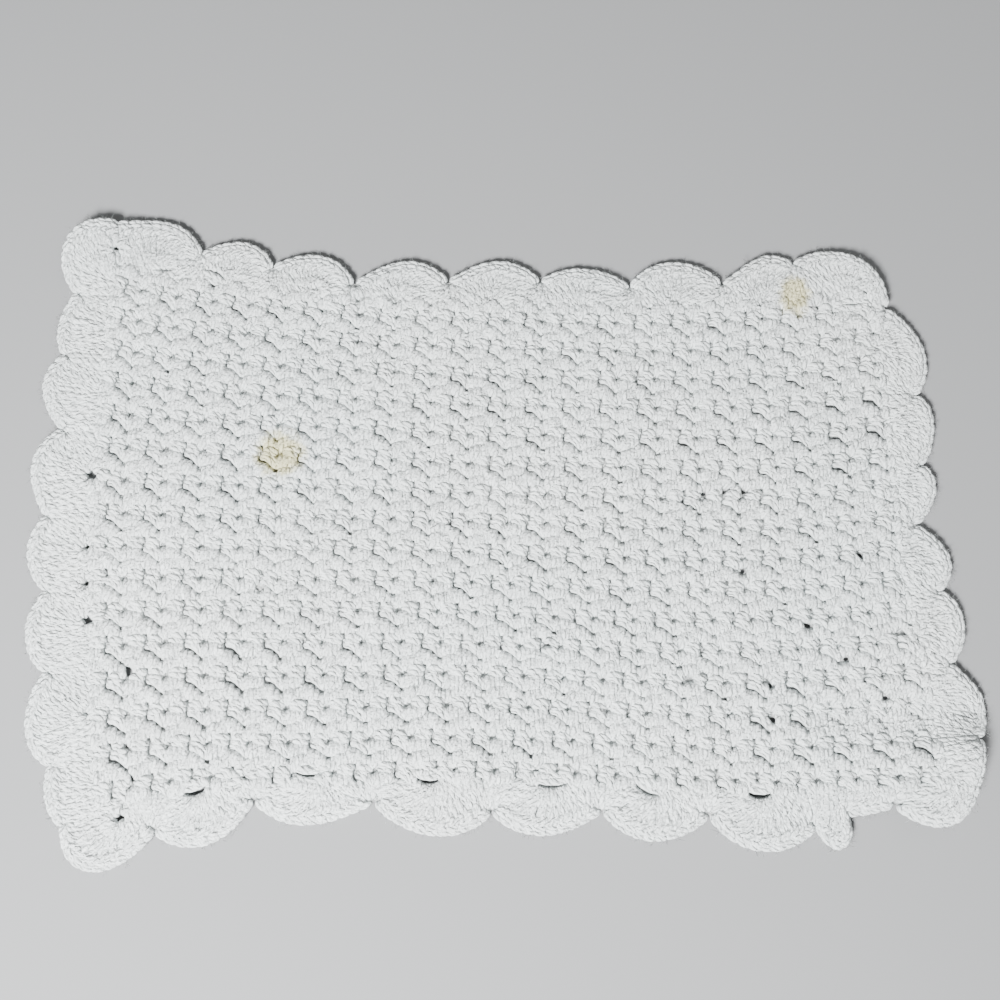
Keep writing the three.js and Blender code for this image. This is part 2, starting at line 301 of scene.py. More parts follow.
# What lies across the tops of the posts: place along the rim in posts and depth inside it at the start
# and at the end, how far its middle stands out, and height at the start, in the middle and at the end
WRAPS = [
    (-0.45, 8.6, 0.20, 4.2, 0, 3.5, 4.1, 3.6),
    (-0.05, 8.0, 0.60, 3.9, 0, 3.5, 4.1, 3.6),
]
CHAIN = [
    (-0.75, 4.0, 0.75, 3.6, 0.4, 3.4, 3.8, 3.4),
    (-0.75, 2.2, 0.75, 2.0, 0.8, 2.7, 3.0, 2.7),
]
CHAIN_UNDER = [
    (-0.75, 2.0, 0.75, 1.8, 0.4, 1.6, 1.5, 1.6),
]
# How deep their ends dive in, how uneven their places are, and the shares of a shell that they stay in
RIM_DIVE = 0.6
RIM_SPREAD = 0.5 * PLACE_SPREAD
RIM_SHARES = (0.004, 0.996)

# Loose fibres round the rim: how many on each shell and in which shares of it, lengths, radius, how far
# inside the rim they start, how far they turn aside, heights, how far they rise and curl, and the lowest
HAIRS = 45
HAIR_SHARES = (0.03, 0.97)
HAIR_LENGTHS = (1.5, 4.0)
HAIR_RADIUS = 0.08
HAIR_ROOT = 1.0
HAIR_TURN = 0.7
HAIR_HEIGHTS = (1.2, 3.8)
HAIR_RISE = 0.6
HAIR_CURL = 1.2
HAIR_LOWEST = 0.4

# Ground sheet: its lowest level, the shares of the solid's height that it keeps in the body and in the
# border, how far outside the body's edge the border's share starts, how far inside the solid it stays,
# how much of the troughs' depth it follows, its least thickness there, and its longest edge
GROUND_BASE = 1.6
BODY_GROUND = 0.15
BORDER_GROUND = 0.22
BORDER_START = 5.0
GROUND_INSET = 1.5
GROUND_SINK = 0.3
GROUND_THINNEST = 0.1
LONGEST_EDGE = 8.0

# Cotton: colour of clean yarn, the dark grey painted shade of the ground sheet that shows deep between
# stitches, and its plain finish
COTTON = (0.905, 0.93, 0.92, 1)
SHADE_PAINTED_COTTON = (0.48, 0.48, 0.475, 1)
COTTON_FINISH = {
    "Roughness": 0.88, "Specular IOR Level": 0.3, "Sheen Weight": 0.12, "Sheen Roughness": 0.5,
}
# How far yarns differ in tone, and the tones of fuzz, plies and fibres: from values to brightness. The
# plies' tone is painted shade, darker in the grooves between them, and the fibres' tone is partly random
# and partly painted glints, brighter than the clean colour.
YARN_TONE = 0.045
FUZZ_TONE = (0.3, 0.7, 0.95, 1.0)
PLY_GROOVE_SHADE = (0.0, 0.6, 0.87, 1.0)
FIBRE_TONE_AND_GLINT = (0.3, 0.7, 0.88, 1.04)
# Heights of plies, fibres and fuzz, and fuzz in a metre
PLY_RELIEF = 0.7
FIBRE_RELIEF = 1.1
FUZZ_RELIEF = 1.4
FUZZ_SCALE = 650
# Plies of a yarn, length of one turn, how far and how fast the twist wanders, and fibres in a turn and
# in a millimetre
PLIES = 3
TWIST = 13.0
TWIST_WANDER = 0.55
WANDER_PACE = 0.25
FIBRES_ROUND = 11
FIBRE_PACE = 0.35

# How fine the finest changes of a pattern are: slow ones, fibres and fuzz
SLOW_DETAIL = 2
FIBRE_DETAIL = 3
FUZZ_DETAIL = 4

# Slow changes of tone: how many in a metre, and the tone
CLOUD_SCALE = 9
CLOUD_TONE = (0.915, 0.965, 0.98, 1)
# Stains: x, y, half sizes and strength, their tone, how ragged they are and on which scale, and where
# they fade out and are full, in half sizes
STAINS = [(-107, 35, 12, 12, 1.0), (147, 116, 8, 11, 1.0)]
STAIN_TONE = (0.82, 0.74, 0.46, 1)
STAIN_RAGGED = 0.9
BLOTCH_SCALE = 260
STAIN_OUTER = 1.65
STAIN_INNER = 1.05

# Stage, in metres: half the floor's width and its paint, lamps as place, size and power, the sky's light,
# and the camera's place from the zero of the tables above, its tilt in degrees, lens and sensor
FLOOR_HALF = 3
FLOOR_PAINT = {"Base Color": (0.28, 0.285, 0.29, 1), "Roughness": 0.9}
LAMPS = {"key": ((-0.42, -0.72, 0.88), 0.35, 60.0), "fill": ((0.8, 0.6, 1.1), 1.2, 5.0)}
SKY = {"Color": (1, 1, 1, 1), "Strength": 0.2}
CAMERA_PLACE = (0, -0.0751, 0.5025)
CAMERA_TILT = 10
CAMERA_LENS = 37.8
CAMERA_SENSOR = 36


# The outline as curves

def run_of(places):
    """How far along a line each of its places lies."""
    return np.concatenate([[0], np.cumsum(np.linalg.norm(np.diff(places, axis=0), axis=1))])


def bow_of(t):
    """Nothing at both ends, one in the middle."""
    return 4 * t * (1 - t)


def smooth_edge(points):
    """A function from a share of the length of a smooth curve through points to places on it, carried
    on straight past both ends."""
    known = np.array(points, float)
    known = np.vstack([known[:1], known, known[-1:]])
    t = np.linspace(0, 1, EDGE_STEPS, endpoint=False)[:, None]
    runs = []
    for before, start, end, after in zip(known, known[1:], known[2:], known[3:]):
        leave, reach = (end - before) / 2, (after - start) / 2
        cubic = (2 * start - 2 * end + leave + reach) * t**3
        square = (3 * end - 3 * start - 2 * leave - reach) * t**2
        runs.append(cubic + square + leave * t + start)
    dense = np.vstack(runs + [known[-1:]])
    run = run_of(dense)
    share_of = run / run[-1]

    def at(share):
        share = np.asarray(share, float)
        inside = np.clip(share, 0, 1)
        place = np.stack([np.interp(inside, share_of, dense[:, k]) for k in (0, 1)], axis=-1)
        first = (dense[1] - dense[0]) / share_of[1]
        last = (dense[-1] - dense[-2]) / (1 - share_of[-2])
        past = (share - inside)[..., None]
        return place + np.where(past < 0, past * first, past * last)
    return at


top_edge = smooth_edge(TOP_EDGE)
right_edge = smooth_edge(RIGHT_EDGE)
bottom_edge = smooth_edge(BOTTOM_EDGE)
left_edge = smooth_edge(LEFT_EDGE)


def body_point(u, v):
    """Places in the body: u across from the left, v down from the top."""
    a, b = np.asarray(u)[..., None], np.asarray(v)[..., None]
    rows = top_edge(u) * (1 - b) + bottom_edge(u) * b
    columns = left_edge(v) * (1 - a) + right_edge(v) * a
    upper = np.array(TOP_EDGE[0]) * (1 - a) + np.array(TOP_EDGE[-1]) * a
    lower = np.array(BOTTOM_EDGE[0]) * (1 - a) + np.array(BOTTOM_EDGE[-1]) * a
    return rows + columns - (upper * (1 - b) + lower * b)


def edge_point(q):
    """Places on the body's edge, q going clockwise by one for each side from the top left corner."""
    q = np.asarray(q, float) % SIDES
    share = q % 1
    sides = [top_edge(share), right_edge(share), bottom_edge(1 - share), left_edge(1 - share)]
    return np.select([(q.astype(int) == k)[..., None] for k in range(SIDES)], sides)


EDGE_SHARES = np.linspace(0, SIDES, EDGE_TRIALS, endpoint=False)
EDGE_PLACES = edge_point(EDGE_SHARES)
VALLEYS = [EDGE_SHARES[np.argmin(np.hypot(*(EDGE_PLACES - (x, y)).T))] for x, y, _, _ in SHELLS]


def outside_body(places):
    """How far places lie outside the body's edge, negative inside it."""
    apart = places[:, None, :] - EDGE_PLACES[None]
    nearest = np.argmin(np.sum(apart**2, axis=2), axis=1)
    ahead = np.roll(EDGE_PLACES, -1, axis=0) - EDGE_PLACES
    out = np.stack([-ahead[:, 1], ahead[:, 0]], axis=1)
    out /= np.linalg.norm(out, axis=1, keepdims=True)
    return np.sum((places - EDGE_PLACES[nearest]) * out[nearest], axis=1)


def rim_point(index, s):
    """Places on a shell's rim, s going from its first valley (0) to the next (1)."""
    x, y, reach, lean = SHELLS[index]
    after = SHELLS[(index + 1) % len(SHELLS)]
    along = np.array([after[0] - x, after[1] - y], float)
    chord = np.hypot(*along)
    out = np.array([-along[1], along[0]]) / chord
    s = np.clip(np.asarray(s, float), 0, 1)
    skewed = s ** (math.log(0.5) / math.log(0.5 + lean))
    power = max(DEEPEST_BULGE, SHALLOW_BULGE - BULGE_PER_DEPTH * reach / chord)
    bulge = bow_of(skewed) ** power
    return np.array([x, y]) + s[..., None] * along + (reach * bulge)[..., None] * out


def root_point(index, s):
    """Where the same post springs from the body's edge, gathered towards the fan's middle."""
    first, last = VALLEYS[index], VALLEYS[(index + 1) % len(SHELLS)]
    if last < first:
        last += SIDES
    aside = 2 * np.asarray(s, float) - 1
    gathered = 0.5 + 0.5 * FAN_FOOT * np.sign(aside) * np.abs(aside) ** FAN_GATHER
    return edge_point(first + (last - first) * gathered)


RIM = np.vstack([rim_point(i, np.linspace(0, 1, RIM_STEPS)) for i in range(len(SHELLS))])
MIDDLE = (RIM.min(axis=0) + RIM.max(axis=0)) / 2


def posts_of(index):
    """How many posts a shell has."""
    length = run_of(rim_point(index, np.linspace(0, 1, LENGTH_STEPS)))[-1]
    return max(FEWEST_POSTS, round(length / POST_PITCH))


def even_shares(index, shares):
    """Values of s at even shares of the rim's length."""
    s = np.linspace(0, 1, EVEN_STEPS)
    run = run_of(rim_point(index, s))
    return np.interp(shares, run / run[-1], s)


def towards_foot(index, s, inside):
    """A place in a shell, s along its rim and so many millimetres in from it."""
    rim, root = rim_point(index, s), root_point(index, s)
    inward = root - rim
    inward /= np.linalg.norm(inward, axis=-1, keepdims=True)
    return rim + inward * np.asarray(inside)[..., None]


# Heights

def lift(places):
    """How far the curled corners raise the mat."""
    height = np.zeros(places.shape[:-1])
    for x, y, radius, rise in CURLS:
        away = np.hypot(places[..., 0] - x, places[..., 1] - y) / radius
        height += rise * np.clip(1 - away**2, 0, None) ** 2
    return height


def sink(places):
    """How far the soft troughs lower it."""
    depth = np.zeros(places.shape[:-1])
    for x0, y0, x1, y1, width, deep in TROUGHS:
        run = np.array([x1 - x0, y1 - y0], float)
        share = np.clip(((places - (x0, y0)) @ run) / (run @ run), 0, 1)
        near = np.array([x0, y0]) + share[..., None] * run
        depth += deep * np.exp(-np.sum((places - near) ** 2, axis=-1) / width**2)
    return depth


# Gaps

def gap_axes(gap):
    """A gap's own axes: along it, and across it."""
    _, _, _, _, angle = gap
    turn = math.radians(angle)
    return np.array([[math.cos(turn), math.sin(turn)], [-math.sin(turn), math.cos(turn)]])


def open_width(gap):
    """How wide a gap stays: the fuzz of its yarns narrows a long slit."""
    _, _, length, width, _ = gap
    return SLIT_SHARE * width if length >= LONG_SLIT else width


def kept_clear(gap):
    """Half the length and width of what yarns keep clear of."""
    _, _, length, _, _ = gap
    room = GAP_ROOM * YARN_RADIUS
    return np.array([length / 2 + room, open_width(gap) / 2 + room])


def outward_side(gap):
    """The sign of a gap's across axis on the side away from the body's middle."""
    _, across = gap_axes(gap)
    return np.sign(across @ np.array(gap[:2]))


def slit_bow(gap, along):
    """How far a slit's line bows at places along it: long ones bow away from the body in their middle."""
    _, _, length, _, _ = gap
    if length < LONG_SLIT:
        return np.zeros_like(along)
    share = np.clip(2 * along / length, -BOW_END, BOW_END)
    return outward_side(gap) * SLIT_BOW * (BOW_MIDDLE - share**2)


def into_gap(places, gap):
    """Places in a gap's own frame, one being the edge of what yarns keep clear of."""
    local = (places - gap[:2]) @ gap_axes(gap).T
    local[..., 1] -= slit_bow(gap, local[..., 0])
    return local / kept_clear(gap)


def out_of_gap(local, gap):
    """The same the other way round."""
    own = local * kept_clear(gap)
    own[..., 1] += slit_bow(gap, own[..., 0])
    return own @ gap_axes(gap) + gap[:2]


def reach_into(places, gap):
    """How far places lie from a gap's middle, one being the edge of what yarns keep clear of."""
    return np.linalg.norm(into_gap(places, gap), axis=-1)


def clear_stretches(places, gap):
    """The stretches of a path that are clear of a gap, as shares of its stations' run."""
    steps = np.linspace(0, len(places) - 1, TRIM_STEPS)
    line = np.stack([np.interp(steps, np.arange(len(places)), places[:, k]) for k in (0, 1)], axis=-1)
    clear = np.concatenate([[False], reach_into(line, gap) > BRIDGE_SHARE, [False]])
    turns = np.flatnonzero(np.diff(clear.astype(int)))
    firsts, lasts = turns[::2], turns[1::2] - 1
    long_enough = lasts - firsts > SHORTEST_REST * TRIM_STEPS
    return np.stack([firsts, lasts], axis=1)[long_enough] / (TRIM_STEPS - 1)


def part_at_gaps(paths):
    """Cut the yarns that run into a gap, keep what is left on both sides, and push all of it aside."""
    shares = np.linspace(0, 1, paths.shape[1])
    for gap in GAPS + PITS:
        near = reach_into(paths[..., :2], gap).min(axis=1) < NEAR_GAP
        kept = [paths[~near]]
        for path in paths[near]:
            for first, last in clear_stretches(path[:, :2], gap):
                rest = path.copy()
                for k in (0, 1):
                    rest[:, k] = np.interp(first + (last - first) * shares, shares, path[:, k])
                kept.append(rest[None])
        paths = np.concatenate(kept)
        local = into_gap(paths[..., :2], gap)
        reach = np.linalg.norm(local, axis=-1)
        push = np.where(reach < 1, 1 / np.maximum(reach, PUSH_FROM), 1)[..., None]
        paths[..., :2] = out_of_gap(local * push, gap)
    return paths


def first_clear(root, along):
    """The share of a leg's run from which it is clear of every gap."""
    places = root + FOOT_SHARES[:, None] * along
    start = FOOT_SHARES[0]
    for gap in GAPS + PITS:
        within = FOOT_SHARES[reach_into(places, gap) < 1]
        if len(within):
            start = max(start, within[-1])
    return start


# Yarn

def stations_of(count):
    """Shares of a yarn's length at which its rings lie: close to both ends, then evenly between."""
    return np.concatenate([[0], np.linspace(DIVE_SHARE, 1 - DIVE_SHARE, count - 2), [1]])


def path_of(places, height):
    """One yarn's path, from its places seen from above and its heights."""
    return np.concatenate([places, height[..., None]], axis=-1)


def dive_in(paths, depth):
    """Paths as one array, with both ends of each let in."""
    paths = np.array(paths)
    paths[:, [0, -1], 2] -= depth
    return paths


def settle(paths, sinking=YARN_SINK):
    """Follow the curled corners and the troughs, and part at the gaps."""
    raised = lift(paths[..., :2])
    paths[..., 2] += raised - sinking * sink(paths[..., :2])
    paths[..., 2] = np.maximum(paths[..., 2], raised + LOWEST)
    return part_at_gaps(paths)


def yarn_rings(paths, radii, section, start_width):
    """The points of all rings: yarns x stations x sides x 3."""
    along = np.gradient(paths, axis=1)
    along /= np.linalg.norm(along, axis=2, keepdims=True)
    side = np.cross(along, (0, 0, 1.0))
    side /= np.maximum(np.linalg.norm(side, axis=2, keepdims=True), TINY)
    over = np.cross(side, along)
    across = np.cos(section)[:, None] * side[:, :, None, :]
    upward = np.sin(section)[:, None] * over[:, :, None, :] * FLATNESS
    t = stations_of(paths.shape[1])
    ends = END_TAPER * np.abs(2 * t - 1) ** TAPER_POWER
    taper = (1 - ends) * (start_width + (1 - start_width) * t)
    return paths[:, :, None, :] + (radii[:, None] * taper)[:, :, None, None] * (across + upward)


def yarn_map(paths, section):
    """Map places of the corners of all walls: turns round the yarn, and millimetres along it."""
    count, stations, _ = paths.shape
    steps = np.linalg.norm(np.diff(paths, axis=1), axis=2)
    run = np.concatenate([np.zeros((count, 1)), np.cumsum(steps, axis=1)], axis=1)
    run += RNG.uniform(0, TWIST_SPREAD, (count, 1))
    turn = np.append(section, section[0] + 2 * np.pi) / (2 * np.pi)
    shape = (count, stations - 1, len(section))
    u, u_next = np.broadcast_to(turn[:-1], shape), np.broadcast_to(turn[1:], shape)
    v, v_next = np.broadcast_to(run[:, :-1, None], shape), np.broadcast_to(run[:, 1:, None], shape)
    corners = [np.stack(pair, -1) for pair in ((u, v), (u, v_next), (u_next, v_next), (u_next, v))]
    return np.stack(corners, 3).reshape(-1, 2)


def yarn_mesh(name, paths, radius, section, start_width=1.0):
    """One piece of many short yarns: paths is yarns x stations x 3, in millimetres, and start_width is
    how wide they are at their start, as a share of their full width."""
    count, stations, _ = paths.shape
    sides = len(section)
    radii = radius * RNG.normal(1, RADIUS_SPREAD, count)
    paths = paths - np.append(MIDDLE, 0)
    rings = yarn_rings(paths, radii, section, start_width) * MM

    index = np.arange(count * stations * sides).reshape(count, stations, sides)
    right = np.roll(index, -1, axis=2)
    walls = np.stack([index[:, :-1], index[:, 1:], right[:, 1:], right[:, :-1]], axis=-1)
    faces = [walls.reshape(-1, 4), index[:, 0], index[:, -1, ::-1]]
    mesh = bpy.data.meshes.new(name)
    mesh.from_pydata(rings.reshape(-1, 3), [], [face for part in faces for face in part.tolist()])

    corners = np.zeros((len(mesh.loops), 2))
    corners[:walls.size] = yarn_map(paths, section)
    mesh.uv_layers.new(name="yarn").data.foreach_set("uv", corners.ravel())
    shade = mesh.attributes.new("shade", "FLOAT", "POINT")
    shade.data.foreach_set("value", np.repeat(RNG.normal(0, 1, count), stations * sides))
    mesh.polygons.foreach_set("use_smooth", np.ones(len(mesh.polygons), bool))
    mesh.update()
    return add_object(name, mesh)


def add_object(name, data):
    """A mesh, a lamp or a camera as an object in the scene."""
    added = bpy.data.objects.new(name, data)
    bpy.context.collection.objects.link(added)
    return added


# Body

def through_three(points, count):
    """Yarns through start, middle and end that dive in at both ends: yarns x 3 x 3 to yarns x count x 3."""
    t = stations_of(count)[None, :, None]
    start, middle, end = points[:, 0:1], points[:, 1:2], points[:, 2:3]
    bend = 2 * middle - (start + end) / 2
    paths = (1 - t) ** 2 * start + 2 * t * (1 - t) * bend + t**2 * end
    return dive_in(paths, DIVE * np.sign(middle[:, :, 2] - start[:, :, 2]))


def wandering(shape):
    """Shifts of the repeats that change slowly from one to the next, so that cracks stay even."""
    shifts = RNG.normal(0, 1, (*shape, 2))
    for axis in (0, 1) * WANDER_ROUNDS:
        shifts = (np.roll(shifts, 1, axis) + 2 * shifts + np.roll(shifts, -1, axis)) / 4
    return shifts * CELL_SPREAD / shifts.std()


def body_yarns(groups, count, height_spread):
    """The yarns of every repeat of the body, row after row."""
    repeat = np.array([yarn for group in groups for yarn in group]).reshape(-1, 3, 3)
    group_of = np.repeat(np.arange(len(groups)), [len(group) for group in groups])
    columns, rows = np.meshgrid(np.arange(-1, CELLS_ACROSS + 1), np.arange(-1, CELLS_DOWN + 1))
    cells = np.stack([columns.ravel(), rows.ravel()], axis=1)
    points = np.tile(repeat, (len(cells), 1, 1, 1))
    points[..., :2] += wandering(columns.shape).reshape(-1, 1, 1, 2)
    points[..., :2] += RNG.normal(0, GROUP_SPREAD, (len(cells), len(groups), 1, 2))[:, group_of]
    points[..., :2] += RNG.normal(0, PLACE_SPREAD, points[..., :2].shape)
    points[..., 2] += RNG.normal(0, height_spread, (len(cells), len(groups), 1))[:, group_of]
    points[..., 2] += RNG.normal(0, height_spread, points.shape[:-1])
    paths = through_three(points.reshape(-1, 3, 3), count)
    cell = np.repeat(cells, len(repeat), axis=0)[:, None, :]
    u = (cell[..., 0] + (paths[..., 0] + FIRST_COLUMN) / REPEAT_WIDTH) / CELLS_ACROSS
    v = (cell[..., 1] + (paths[..., 1] + FIRST_ROW) / REPEAT_DEPTH) / CELLS_DOWN
    middle_u, middle_v = u[:, count // 2], v[:, count // 2]
    inside = (middle_u > 0) & (middle_u < 1) & (middle_v > 0) & (middle_v < 1)
    paths[..., :2] = body_point(u, v)
    return paths[inside]


def make_body():
    """The stitches of the upper side, in bands from the top, and those of the underside."""
    bands = np.array_split(body_yarns(STITCH, FACE_RINGS, HEIGHT_SPREAD), BANDS)
    pieces = []
    for number, band in enumerate(bands):
        pieces.append(yarn_mesh(f"body_stitches_{number + 1}", settle(band), YARN_RADIUS, ARCH))
    under = settle(body_yarns(UNDER_STITCH, PLAIN_RINGS, UNDER_SPREAD), sinking=0)
    pieces.append(yarn_mesh("body_backs", under, UNDER_RADIUS, HANGING_ARCH))
    return pieces


# Border

def leg_yarns(legs, heights, count):
    """The yarns of all posts, from the fans' feet nearly to the rim."""
    t = stations_of(count)
    low, high, spread = heights
    paths = []
    for index in range(len(SHELLS)):
        posts = posts_of(index)
        for post in range(posts):
            for aside, first, last, lower in legs:
                place = (post + 0.5 + aside) / posts
                s = even_shares(index, np.full(1, place))
                rim, root = towards_foot(index, s, LEG_END), root_point(index, s)
                along = (rim - root)[0]
                left = np.array([-along[1], along[0]]) / np.hypot(*along)
                start = max(first + RNG.normal(0, LEG_STAGGER), first_clear(root, along))
                share = start + (last - start) * t
                bow = RNG.normal(0, LEG_BOW) * bow_of(t) + RNG.normal(0, PLACE_SPREAD)
                places = root + along * share[:, None] + left * bow[:, None]
                valley = 1 - LEG_FALL * (2 * place - 1) ** FALL_POWER
                crown = np.sin(np.pi * np.clip(share, 0, 1)) * valley
                height = low + (high - low) * crown + RNG.normal(0, spread) - lower
                paths.append(path_of(places, height))
    return dive_in(paths, BORDER_DIVE * np.sign(high - low))


def joint_yarns(heights, count):
    """What fills the wedge between two fans, from the body's edge to the valley of the rim."""
    t = stations_of(count)
    low, high, spread = heights
    paths = []
    for index, (x, y, _, _) in enumerate(SHELLS):
        before, here, after = (VALLEYS[k % len(SHELLS)] for k in (index - 1, index, index + 1))
        back = 0.5 * (1 - FAN_FOOT) * ((here - before) % SIDES)
        ahead = 0.5 * (1 - FAN_FOOT) * ((after - here) % SIDES)
        inward = edge_point(here) - (x, y)
        inward /= np.hypot(*inward)
        along = edge_point(here + EDGE_STEP) - edge_point(here - EDGE_STEP)
        along /= np.hypot(*along)
        for number in range(-JOINT_HALF, JOINT_HALF + 1):
            end = JOINT_ENDS[abs(number) % len(JOINT_ENDS)]
            aside = number / JOINT_HALF
            root = edge_point(here + aside * (ahead if aside > 0 else back))
            way = np.array([x, y]) + inward * JOINT_END + along * aside * JOINT_TIP - root
            start = max(-JOINT_START / np.hypot(*way), first_clear(root, way))
            share = start + (end + RNG.normal(0, JOINT_STAGGER) - start) * t
            inside = np.clip(share, 0, 1)
            height = low + (high - low) * np.sin(np.pi * inside) + RNG.normal(0, spread)
            height -= JOINT_FALL * inside**2
            paths.append(path_of(root + way * share[:, None], height))
    return dive_in(paths, BORDER_DIVE * np.sign(high - low))


def lip_yarns(count):
    """The yarns along the sides of each long slit."""
    t = stations_of(count)
    closing = 1 - LIP_CLOSING * (2 * t - 1) ** 2
    paths = []
    for gap in GAPS + PITS:
        x, y, length, _, _ = gap
        if length < LONG_SLIT:
            continue
        along, across = gap_axes(gap)
        run = (t - 0.5) * (length + 2 * YARN_RADIUS)
        is_inside = outside_body(np.array([[x, y]]))[0] < -WELL_INSIDE
        for inside, height in LIPS if is_inside else LIPS[:-1]:
            lip = (np.sign(inside) * 0.5 * open_width(gap) + inside * YARN_RADIUS) * closing
            aside = slit_bow(gap, run) - outward_side(gap) * lip
            places = (x, y) + run[:, None] * along + aside[:, None] * across
            paths.append(path_of(places, np.full(count, height)))
    return dive_in(paths, DIVE)


def collar_yarns(count):
    """Short yarns that spring from the rim of each star-shaped hole along the body's edge."""
    t = stations_of(count)
    paths = []
    for x, y, length, width, angle in GAPS + PITS:
        if length > LONGEST_STAR or outside_body(np.array([[x, y]]))[0] < -STAR_BAND:
            continue
        for ray in range(STAR_RAYS):
            aside = 2 * math.pi * (ray + RNG.normal(0, STAR_TURN)) / STAR_RAYS
            turn = math.radians(angle) + aside
            edge = 0.5 * length * width / math.hypot(width * math.cos(aside), length * math.sin(aside))
            first = edge + STAR_ROOM + STAR_UNEVEN * (-1) ** ray
            reach = first + (STAR_REACH + RNG.normal(0, STAR_REACH_SPREAD)) * t
            places = np.array([x, y]) + reach[:, None] * (math.cos(turn), math.sin(turn))
            height = STAR_HEIGHT + RNG.normal(0, HEIGHT_SPREAD) - STAR_FALL * t**2
            paths.append(path_of(places, height))
    return dive_in(paths, DIVE)


def rim_yarns(table, count):
    """What lies across the tops of all posts."""
    t = stations_of(count)
    paths = []
    for index in range(len(SHELLS)):
        posts = posts_of(index)
        for post in range(posts):
            for along0, inside0, along1, inside1, bow, low, high, last in table:
                along = (post + 0.5 + along0 + (along1 - along0) * t) / posts
                s = even_shares(index, np.clip(along, *RIM_SHARES))
                inside = inside0 + (inside1 - inside0) * t - bow * bow_of(t)
                places = towards_foot(index, s, inside + RNG.normal(0, RIM_SPREAD))
                height = low + (last - low) * t + bow_of(t) * (high - (low + last) / 2)
                paths.append(path_of(places, height))
    return dive_in(paths, RIM_DIVE)


def hair_paths(count):
    """Loose fibres that stand out from the rim, a little curled."""
    t = np.linspace(0, 1, count)
    paths = []
    for index in range(len(SHELLS)):
        s = even_shares(index, RNG.uniform(*HAIR_SHARES, HAIRS))
        inner, outer = towards_foot(index, s, np.full(HAIRS, HAIR_ROOT)), rim_point(index, s)
        out = (outer - inner) / np.linalg.norm(outer - inner, axis=1, keepdims=True)
        turn = RNG.normal(0, HAIR_TURN, HAIRS)
        ahead = np.stack([-out[:, 1], out[:, 0]], axis=1)
        way = np.cos(turn)[:, None] * out + np.sin(turn)[:, None] * ahead
        reach = RNG.uniform(*HAIR_LENGTHS, HAIRS)[:, None] * t
        curl = RNG.normal(0, HAIR_CURL, HAIRS)[:, None] * t**2
        places = inner[:, None] + reach[..., None] * way[:, None] + curl[..., None] * ahead[:, None]
        height = RNG.uniform(*HAIR_HEIGHTS, HAIRS)[:, None] + RNG.normal(0, HAIR_RISE, HAIRS)[:, None] * t
        paths.append(path_of(places, height))
    paths = np.concatenate(paths)
    paths[..., 2] = np.maximum(paths[..., 2], HAIR_LOWEST) + lift(paths[..., :2])
    return paths


def make_border():
    """The posts of the shells, what lies across their tops, the rim chain and the backs of all these."""
    legs = settle(leg_yarns(LEGS, LEG_HEIGHTS, FACE_RINGS))
    joints = settle(joint_yarns(JOINT_HEIGHTS, FACE_RINGS))
    edges = np.concatenate([lip_yarns(FACE_RINGS), collar_yarns(FACE_RINGS)])
    edges[..., 2] += lift(edges[..., :2])
    joints = np.concatenate([joints, edges])
    hairs = hair_paths(PLAIN_RINGS)
    wraps = settle(rim_yarns(WRAPS, BACK_RINGS))
    chain = settle(rim_yarns(CHAIN, FACE_RINGS))
    under_chain = settle(rim_yarns(CHAIN_UNDER, BACK_RINGS), sinking=0)
    under_legs = leg_yarns(UNDER_LEGS, BACK_HEIGHTS, BACK_RINGS)
    under_joints = joint_yarns(BACK_HEIGHTS, BACK_RINGS)
    under = settle(np.concatenate([under_legs, under_joints]), sinking=0)
    return [
        yarn_mesh("shell_posts", legs, YARN_RADIUS, ARCH, FOOT_WIDTH),
        yarn_mesh("shell_joints", joints, YARN_RADIUS, ARCH),
        yarn_mesh("shell_wraps", wraps, RIM_RADIUS, ARCH),
        yarn_mesh("rim_chain", chain, RIM_RADIUS, ARCH),
        yarn_mesh("rim_chain_under", under_chain, UNDER_RADIUS, ROUND),
        yarn_mesh("shell_backs", under, UNDER_RADIUS, HANGING_ARCH),
        yarn_mesh("rim_fuzz", hairs, HAIR_RADIUS, THREE_SIDED),
    ]


# Ground

def make_ground():
    """The sheet that the yarns lie on and under: the mat's solid, thinned to what shows between
    stitches, and thicker under the border's close posts."""
    solid = bmesh.new()
    solid.from_mesh(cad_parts["placemat"].data)
    bmesh.ops.remove_doubles(solid, verts=solid.verts, dist=TINY)
    long_edges = [edge for edge in solid.edges if edge.calc_length() > LONGEST_EDGE * MM]
    bmesh.ops.subdivide_edges(solid, edges=long_edges, cuts=1)
    bmesh.ops.triangulate(solid, faces=solid.faces)
    solid.normal_update()
    places = np.array([vert.co.xy for vert in solid.verts]) / MM + MIDDLE
    raised = lift(places)
    level = np.array([vert.co.z for vert in solid.verts]) / MM - raised
    rise = level * np.where(outside_body(places) > BORDER_START, BORDER_GROUND, BODY_GROUND)
    rise = np.maximum(rise - GROUND_SINK * sink(places), np.minimum(rise, GROUND_THINNEST))
    for vert, height in zip(solid.verts, raised + GROUND_BASE + rise):
        vert.co.xy -= vert.normal.xy * (GROUND_INSET * MM)
        vert.co.z = height * MM
    mesh = bpy.data.meshes.new("ground")
    solid.to_mesh(mesh)
    solid.free()
    mesh.polygons.foreach_set("use_smooth", np.zeros(len(mesh.polygons), bool))
    piece = add_object("ground", mesh)
    cut_holes(piece)
    return piece


